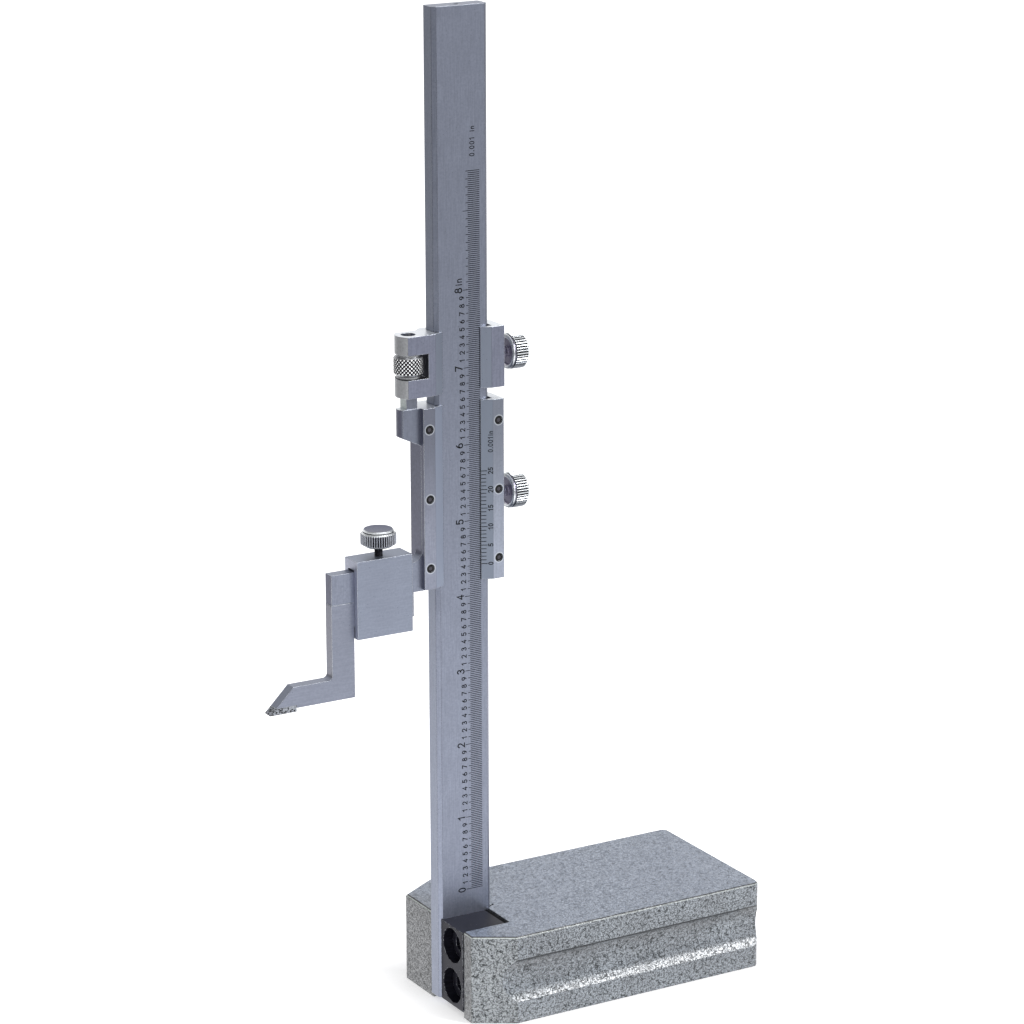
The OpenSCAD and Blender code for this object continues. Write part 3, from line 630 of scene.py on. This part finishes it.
def stroke(bm, points, width):
    """A flat stroke along points, mitred where it bends. A line that comes back to its start is closed."""
    points = [Vector(p) for p in points]
    closed = (points[0] - points[-1]).length < MERGE
    ways = [(b - a).normalized() for a, b in zip(points, points[1:])]
    rows = []
    for i, point in enumerate(points):
        before = ways[i - 1] if i or closed else ways[0]
        after = ways[i % len(ways)] if i < len(ways) or closed else ways[-1]
        way = (before + after).normalized()
        half = way.orthogonal() * (width / 2 / max(0.5, way.dot(after)))
        reach = way * width * 0.4 * ((i == len(ways)) - (i == 0)) * (not closed)
        rows.append([bm.verts.new((point + reach + side * half).to_3d()) for side in (1, -1)])
    rails = [bm.edges.new(pair) for line in zip(*rows) for pair in zip(line, line[1:])]
    bmesh.ops.bridge_loops(bm, edges=rails)


@functools.cache
def letter(character, width):
    """The mesh of one character, 1 high."""
    bm = bmesh.new()
    for line in CHARACTERS[character][1]:
        part = bmesh.new()
        stroke(part, line, width)
        bm.from_mesh(meshed("stroke", part))
    return meshed("letter", bm)


class Engraving:
    """Thin strokes laid on a face, drawn in millimetres: x along the words and y up them."""

    def __init__(self):
        self.bm = bmesh.new()

    def ticks(self, step, count, low, high, width):
        """Evenly spaced ruled lines across the words' own direction, the first at 0."""
        place = Matrix.Translation((0, (low + high) / 2, 0)) @ Matrix.Diagonal((width, high - low, 1, 1))
        made = bmesh.ops.create_grid(self.bm, x_segments=1, y_segments=1, size=0.5, matrix=place)["verts"]
        face = made[0].link_faces[0]
        bmesh.ops.spin(self.bm, geom=[*face.verts, *face.edges, face], axis=(0, 0, 1), angle=0,
                       dvec=(step, 0, 0), steps=count - 1, use_duplicate=True)

    def write(self, words, x, y, height, width, gap=0.22):
        """Words centred on x, standing on y, in strokes of a width. gap is a share of their height."""
        room = sum(CHARACTERS[c][0] for c in words) + gap * (len(words) - 1)
        at = x - room * height / 2
        for c in words:
            start = len(self.bm.verts)
            self.bm.from_mesh(letter(c, width / height))
            place = Matrix.Translation((at, y, 0)) @ Matrix.Scale(height, 4)
            bmesh.ops.transform(self.bm, matrix=place, verts=self.bm.verts[start:])
            at += (CHARACTERS[c][0] + gap) * height

    def build(self, name, body, finish, slot, origin, across, up, depth=0.03):
        """Joins strokes that meet, gives them a thickness, half of it sunk, and lays them on the face."""
        bmesh.ops.remove_doubles(self.bm, verts=self.bm.verts, dist=MERGE)
        grown = bmesh.ops.extrude_face_region(self.bm, geom=self.bm.faces)["geom"]
        raised = [v for v in grown if isinstance(v, bmesh.types.BMVert)]
        bmesh.ops.translate(self.bm, vec=(0, 0, depth), verts=raised)
        across, up = Vector(across).normalized(), Vector(up).normalized()
        turn = Matrix((across, up, across.cross(up))).transposed().to_4x4()
        place = Matrix.Translation(origin) @ turn @ Matrix.Translation((0, 0, -depth / 2))
        bmesh.ops.transform(self.bm, verts=self.bm.verts, matrix=place)
        return piece(name, self.bm, body, finish)


# The beam's scale and the vernier's

# Height of the vernier's zero line above its plate's foot
ZERO_UP = 5.3
# The height that reads as zero, so that the scale gives the scriber's own height
SCALE_ZERO = plate_low.z + ZERO_UP - tip_low.z
# Across the beam from its left edge, negative to the right: the lines' far end, and where each rank starts
LINE_END, LINE_START, TENTH_START, INCH_START = -16.35, -12.1, -11.3, -10.25
LINES_PER_INCH, INCHES, NUMBERED_INCHES = 40, 9.5, 8
# Foot, height and stroke of each kind of figure, and for the note its wider gap
TENTH_FIGURE, INCH_FIGURE, UNIT = (-10.6, 1.65, 0.33), (-9.75, 2.45, 0.42), (-9.75, 2.3, 0.32)
NOTE = (-14.5, 1.6, 0.28, 0.32)
# Heights of the middles of the unit and the note
UNIT_HEIGHT, NOTE_HEIGHT = 244.8, 289.5
# Widths of the lines, and of their longer ends
RULED, NOTCHED = 0.24, 0.22


def beam_scale(ink):
    """The inch scale: fortieths, tenths with small figures, and inches with large ones."""
    numerals, rulings = Engraving(), Engraving()
    for scale, per_inch, low, high, width in ((rulings, LINES_PER_INCH, LINE_END, LINE_START, RULED),
                                              (numerals, 10, LINE_START, TENTH_START, NOTCHED),
                                              (numerals, 1, TENTH_START, INCH_START, NOTCHED)):
        scale.ticks(INCH / per_inch, int(INCHES * per_inch) + 1, low, high, width)
    for tenth in range(NUMBERED_INCHES * 10 + 1):
        if tenth % 10:
            numerals.write(str(tenth % 10), tenth * INCH / 10, *TENTH_FIGURE)
        else:
            numerals.write(str(tenth // 10), tenth * INCH / 10, *INCH_FIGURE)
    numerals.write("in", UNIT_HEIGHT - SCALE_ZERO, *UNIT)
    numerals.write("0.001 in", NOTE_HEIGHT - SCALE_ZERO, *NOTE)
    origin = (beam_low.x, beam_low.y, SCALE_ZERO)
    numerals.build("beam_numerals", "base", ink, "ground_steel", origin, (0, 0, 1), (-1, 0, 0))
    rulings.build("beam_rulings", "base", ink, "ground_steel", origin, (0, 0, 1), (-1, 0, 0))


# The plate's lip, and the width of the bevel that rises from it
LIP, BEVEL_WIDTH = 0.25, 3.65
# The vernier's 25 divisions span 1.225 inch
DIVISIONS, SPAN = 25, INCH * 1.225
DIVISION = SPAN / DIVISIONS
# Across the bevel from its lip: the lines' start, their end, and the end of every fifth
TICK_START, TICK_END, LONG_END, TICK_WIDTH = -0.05, -1.75, -2.1, 0.25
FIGURE_FOOT, FIGURE_HEIGHT, FIGURE_STROKE, NOTE_STROKE = -3.9, 1.45, 0.30, 0.26
# Height of the note's middle above the zero line
VERNIER_NOTE = 40.8


def vernier_scale(ink):
    """The vernier's 25 divisions on its plate's bevel, with a figure at every fifth."""
    foot = Vector((plate_low.x, plate_high.y - LIP, plate_low.z + ZERO_UP))
    out = Vector((BEVEL_WIDTH, plate_low.y - foot.y, 0))
    vernier = Engraving()
    vernier.ticks(DIVISION, DIVISIONS + 1, TICK_END, TICK_START, TICK_WIDTH)
    vernier.ticks(5 * DIVISION, DIVISIONS // 5 + 1, LONG_END, TICK_END, TICK_WIDTH)
    for k in range(0, DIVISIONS + 1, 5):
        vernier.write(str(k), k * DIVISION, FIGURE_FOOT, FIGURE_HEIGHT, FIGURE_STROKE, 0.24)
    vernier.write("0.001in", VERNIER_NOTE, FIGURE_FOOT, FIGURE_HEIGHT, NOTE_STROKE, 0.26)
    vernier.build("vernier_scale", "slider", ink, "ground_steel", foot, (0, 0, 1), -out)


# Knurled screws and nut

KNURL_DEPTH, DIAMOND_DEPTH = 0.45, 0.14
STEPS_PER_RIDGE, STEPS_PER_DIAMOND = 12, 14
# How much deeper the plain skin lies than the roots of the knurl beside it
RELIEF = 0.03


def lock_screw(node, body):
    """A thumb screw: threaded shank, dished back, straight knurl between two plain rings, and hollow end."""
    low, high = corners(node)
    radius, length, core, thread, ridges = (high.y - low.y) / 2, 5.8, 1.7, 2.0, 40
    at = Vector((high.x - length, 0, (low.z + high.z) / 2))
    shank = low.x - at.x
    thread_low, thread_high = shank + 0.5, -0.8
    band_low, band_high = 0.75, length - 0.75
    skin, dish, hollow = radius - KNURL_DEPTH - RELIEF, radius - 1.3, length - 0.2
    bm = lathe([
        (shank, 0), (shank, core), (shank + 0.3, thread),
        *((z, thread) for z in levels(thread_low, thread_high, 40)),
        (0.1, core), (0.2, dish - 0.3), (-0.35, dish), (-0.45, dish + 0.1), (-0.45, radius - 0.6),
        (-0.35, radius - 0.35), (-0.15, radius - 0.15), (0.0, radius - 0.1), (0.05, skin - 0.1),
        (0.65, skin - 0.1), (0.7, skin), (band_low, skin), (0.8, radius), (length - 0.8, radius),
        (length - 0.7, skin), (length - 0.6, skin), (length, skin - 0.5), (length, skin - 1.2),
        (hollow, skin - 1.4), (hollow, 0),
    ], ridges * STEPS_PER_RIDGE)
    roll(bm, thread_low, thread_high, screw_thread(0.7, 0.25))
    roll(bm, band_low + 0.02, band_high, straight_knurl(ridges, KNURL_DEPTH))
    seat(bm, at, (1, 0, 0))
    chrome = satin_chrome(node + "_chrome", 0, at, radius, KNURL_DEPTH, (band_low, band_high), dish,
                          necks=[(shank, -0.5), (0.04, 0.7)], dull=(0.75, 0.72, 0.82),
                          bright=(0.76, 0.79, 0.82), sunk=(0.22, 0.21, 0.28))
    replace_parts(piece(node + "_knurled", bm, body, chrome, 0.5), node)


def clamp_screw():
    """The scriber clamp's screw: threaded shank, straight-knurled head, short neck and a plain cap."""
    low, high = corners("scriber_clamp_screw")
    radius, head, cap, rim, ridges = (high.x - low.x) / 2, 4.8, 0.85, 4.95, 44
    core, thread, face = 1.1, 1.4, head + cap
    at = Vector(((low.x + high.x) / 2, (low.y + high.y) / 2, high.z - head - 0.6))
    shank, skin = low.z - at.z, radius - KNURL_DEPTH - RELIEF
    thread_low, thread_high = shank + 0.5, -0.3
    band_low, band_high = 0.8, head - 0.55
    bm = lathe([
        (shank, 0), (shank, core), (shank + 0.3, thread),
        *((z, thread) for z in levels(thread_low, thread_high, 80)),
        (0.0, 1.3), (0.0, skin - 0.9), (0.15, skin - 0.7), (0.75, skin), (0.85, radius),
        (head - 0.6, radius), (head - 0.5, skin + 0.2), (head - 0.05, skin - 0.2),
        (head - 0.05, rim - 0.3), (head + 0.1, rim - 0.3), (head + 0.15, rim), (face - 0.3, rim),
        (face, rim - 0.3), (face - 0.05, rim - 0.45), (face - 0.05, 0),
    ], ridges * STEPS_PER_RIDGE)
    roll(bm, thread_low, thread_high, screw_thread(0.5, 0.2))
    roll(bm, band_low, band_high, straight_knurl(ridges, KNURL_DEPTH))
    seat(bm, at, (0, 0, 1))
    chrome = satin_chrome("clamp_screw_chrome", 2, at, radius, KNURL_DEPTH, (band_low, band_high),
                          rim - 0.32, necks=[(shank, 0.12), (head - 0.03, head + 0.28)],
                          dull=(0.15, 0.16, 0.225), crest=(0.42, 0.44, 0.50))
    made = piece("clamp_screw_knurled", bm, "clamp_screw", chrome, 0.5)
    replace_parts(made, "scriber_clamp_screw")


def adjusting_nut():
    """The fine adjustment's nut: a diamond-knurled band between two plain hubs, bored through."""
    radius, band, hub, bore = (nut_high.x - nut_low.x) / 2, 6.2, 3.8, 1.95
    diamonds, rise = 24, 1.3
    at = Vector(((nut_low.x + nut_high.x) / 2, (nut_low.y + nut_high.y) / 2, nut_low.z))
    tall = nut_high.z - nut_low.z
    start, end = (tall - band) / 2, (tall + band) / 2
    bm = lathe([
        (0, bore), (0, hub - 0.1), (0.1, hub), (start, hub), (start, radius - 0.8),
        (start + 0.8, radius - 0.1), *((z, radius) for z in levels(start + 0.85, end - 0.35, 56)),
        (end - 0.3, radius - 0.1), (end, radius - 0.35), (end, hub), (tall - 0.1, hub),
        (tall, hub - 0.1), (tall, bore), *((z, bore) for z in levels(tall - 0.1, 0, 2)),
    ], diamonds * STEPS_PER_DIAMOND)
    roll(bm, start + 0.82, end - 0.32, diamond_knurl(diamonds, rise, DIAMOND_DEPTH))
    seat(bm, at, (0, 0, 1))
    # The crests' near-white tint is a painted highlight, and the roots get painted shade
    chrome = satin_chrome("nut_chrome", 2, at, radius, DIAMOND_DEPTH, (start + 0.8, end - 0.32), bore,
                          bright=(0.40, 0.41, 0.43), crest=(0.96, 0.98, 0.99), mesh=(diamonds, rise))
    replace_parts(piece("nut_knurled", bm, "nut", chrome, 0.25), "adjusting_nut")


# Floor, room, lamps and camera, in metres

FLOOR_REACH, FLOOR_DROP = 20.0, 0.0002
BLACK, WHITE = (0, 0, 0), (1, 1, 1)


def floor():
    """A plain floor, white to the eye and in gloss, that keeps the contact shadow."""
    bm = bmesh.new()
    bmesh.ops.create_grid(bm, x_segments=1, y_segments=1, size=FLOOR_REACH)
    ground = linked("floor", meshed("floor", bm))
    ground.location.z = -FLOOR_DROP
    f = Finish("white_floor", Roughness=1.0, Specular_IOR_Level=0.0, Emission_Strength=2.0)
    eye, gloss = f.rays("Camera"), f.rays("Glossy", "Transmission")
    x, y, _ = f.parts(f.node("TexCoord", "Object"))
    gap = (x.maths("ABSOLUTE") - base_high.x * MM) | (y.maths("ABSOLUTE") - base_high.y * MM)
    reach = (x * x + y * y) ** 0.5
    near = reach.rise(1.0, 0.3)
    beside = (x / reach * -0.86 + y / reach * -0.51).rise(0.85, 0.98)
    close = beside * 0.4 + 1.42
    shine = near * close + (1 - near) * surroundings(x / reach, y / reach)
    glow = eye * (gap.rise(-0.01, 0.03) * 0.5 + 0.42) + gloss * shine
    f.set(Base_Color=f.mix(gloss, (0.75, 0.75, 0.76), BLACK), Emission_Color=f.mix(glow * 0.5, BLACK, WHITE))
    f.on(ground)


def surroundings(x, y):
    """How white the far floor and the room look in gloss: white behind, dimmer at the left and in front."""
    behind = (x * 0.26 + y * 0.966).rise(0.62, 0.92)
    return (x.rise(-1.0, 0.7) * 0.30 + 0.24) * (1 - behind) + behind


def room():
    """A white room to the eye and in gloss, and a soft even light for the rest."""
    world = bpy.data.worlds.new("room")
    bpy.context.scene.world = world
    world.use_nodes = True
    g = Shading(world.node_tree)
    eye, gloss = g.rays("Camera"), g.rays("Glossy", "Transmission")
    x, y, _ = g.parts(g.node("TexCoord", "Generated"))
    level = (x * x + y * y) ** 0.5
    light = eye + gloss * surroundings(x / level, y / level) + (1 - (eye | gloss)) * 0.48
    connect(g.tree, g.tree.nodes["Background"].inputs["Color"], g.mix(light, BLACK, WHITE))


def softbox(name, at, aim, width, height, power):
    """A rectangular lamp that looks at a point."""
    lamp = bpy.data.lights.new(name, "AREA")
    lamp.shape, lamp.size, lamp.size_y, lamp.energy = "RECTANGLE", width, height, power
    turn = (Vector(aim) - Vector(at)).to_track_quat("-Z", "Y").to_matrix().to_4x4()
    linked(name, lamp).matrix_world = Matrix.Translation(at) @ turn


VIEW_TURN, VIEW_RISE, VIEW_LEAN = (math.radians(angle) for angle in (-30.362, 15.754, -0.13))
VIEW_SPOT, VIEW_DISTANCE = (-0.02747, -0.0032, 0.1665), 1.17406
SENSOR_WIDTH, FOCAL_LENGTH = 36.0, 127.01


def camera():
    """The photograph's own view: turned 30.4 degrees round the gauge and 15.8 degrees above it."""
    level = math.cos(VIEW_RISE)
    back = Vector((math.sin(VIEW_TURN) * level, -math.cos(VIEW_TURN) * level, math.sin(VIEW_RISE)))
    right = Vector((math.cos(VIEW_TURN), math.sin(VIEW_TURN), 0))
    tilt = Matrix.Rotation(VIEW_LEAN, 3, back)
    right, up = tilt @ right, tilt @ back.cross(right)
    lens = bpy.data.cameras.new("camera")
    lens.sensor_width, lens.lens = SENSOR_WIDTH, FOCAL_LENGTH
    lens.clip_start, lens.clip_end = 0.05, 60.0
    eye = linked("camera", lens)
    spot = Vector(VIEW_SPOT) + back * VIEW_DISTANCE
    eye.matrix_world = Matrix.Translation(spot) @ Matrix((right, up, back)).transposed().to_4x4()
    bpy.context.scene.camera = eye


finish_solids()
scale_ink = black_filling()
beam_scale(scale_ink)
vernier_scale(scale_ink)
lock_screw("slider_lock_screw", "slider_lock")
lock_screw("carriage_lock_screw", "carriage_lock")
clamp_screw()
adjusting_nut()

floor()
room()
softbox("overhead", (0.2, -0.1, 1.7), (0, 0, 0.1), 1.4, 1.2, 5)
softbox("key", (0.88, -1.13, 1.08), (0, 0, 0.02), 0.35, 1.15, 16)
softbox("fill", (-1.1, -1.3, 0.7), (0, 0, 0.1), 0.9, 0.9, 6)
camera()
bpy.context.scene.view_settings.view_transform = "Standard"
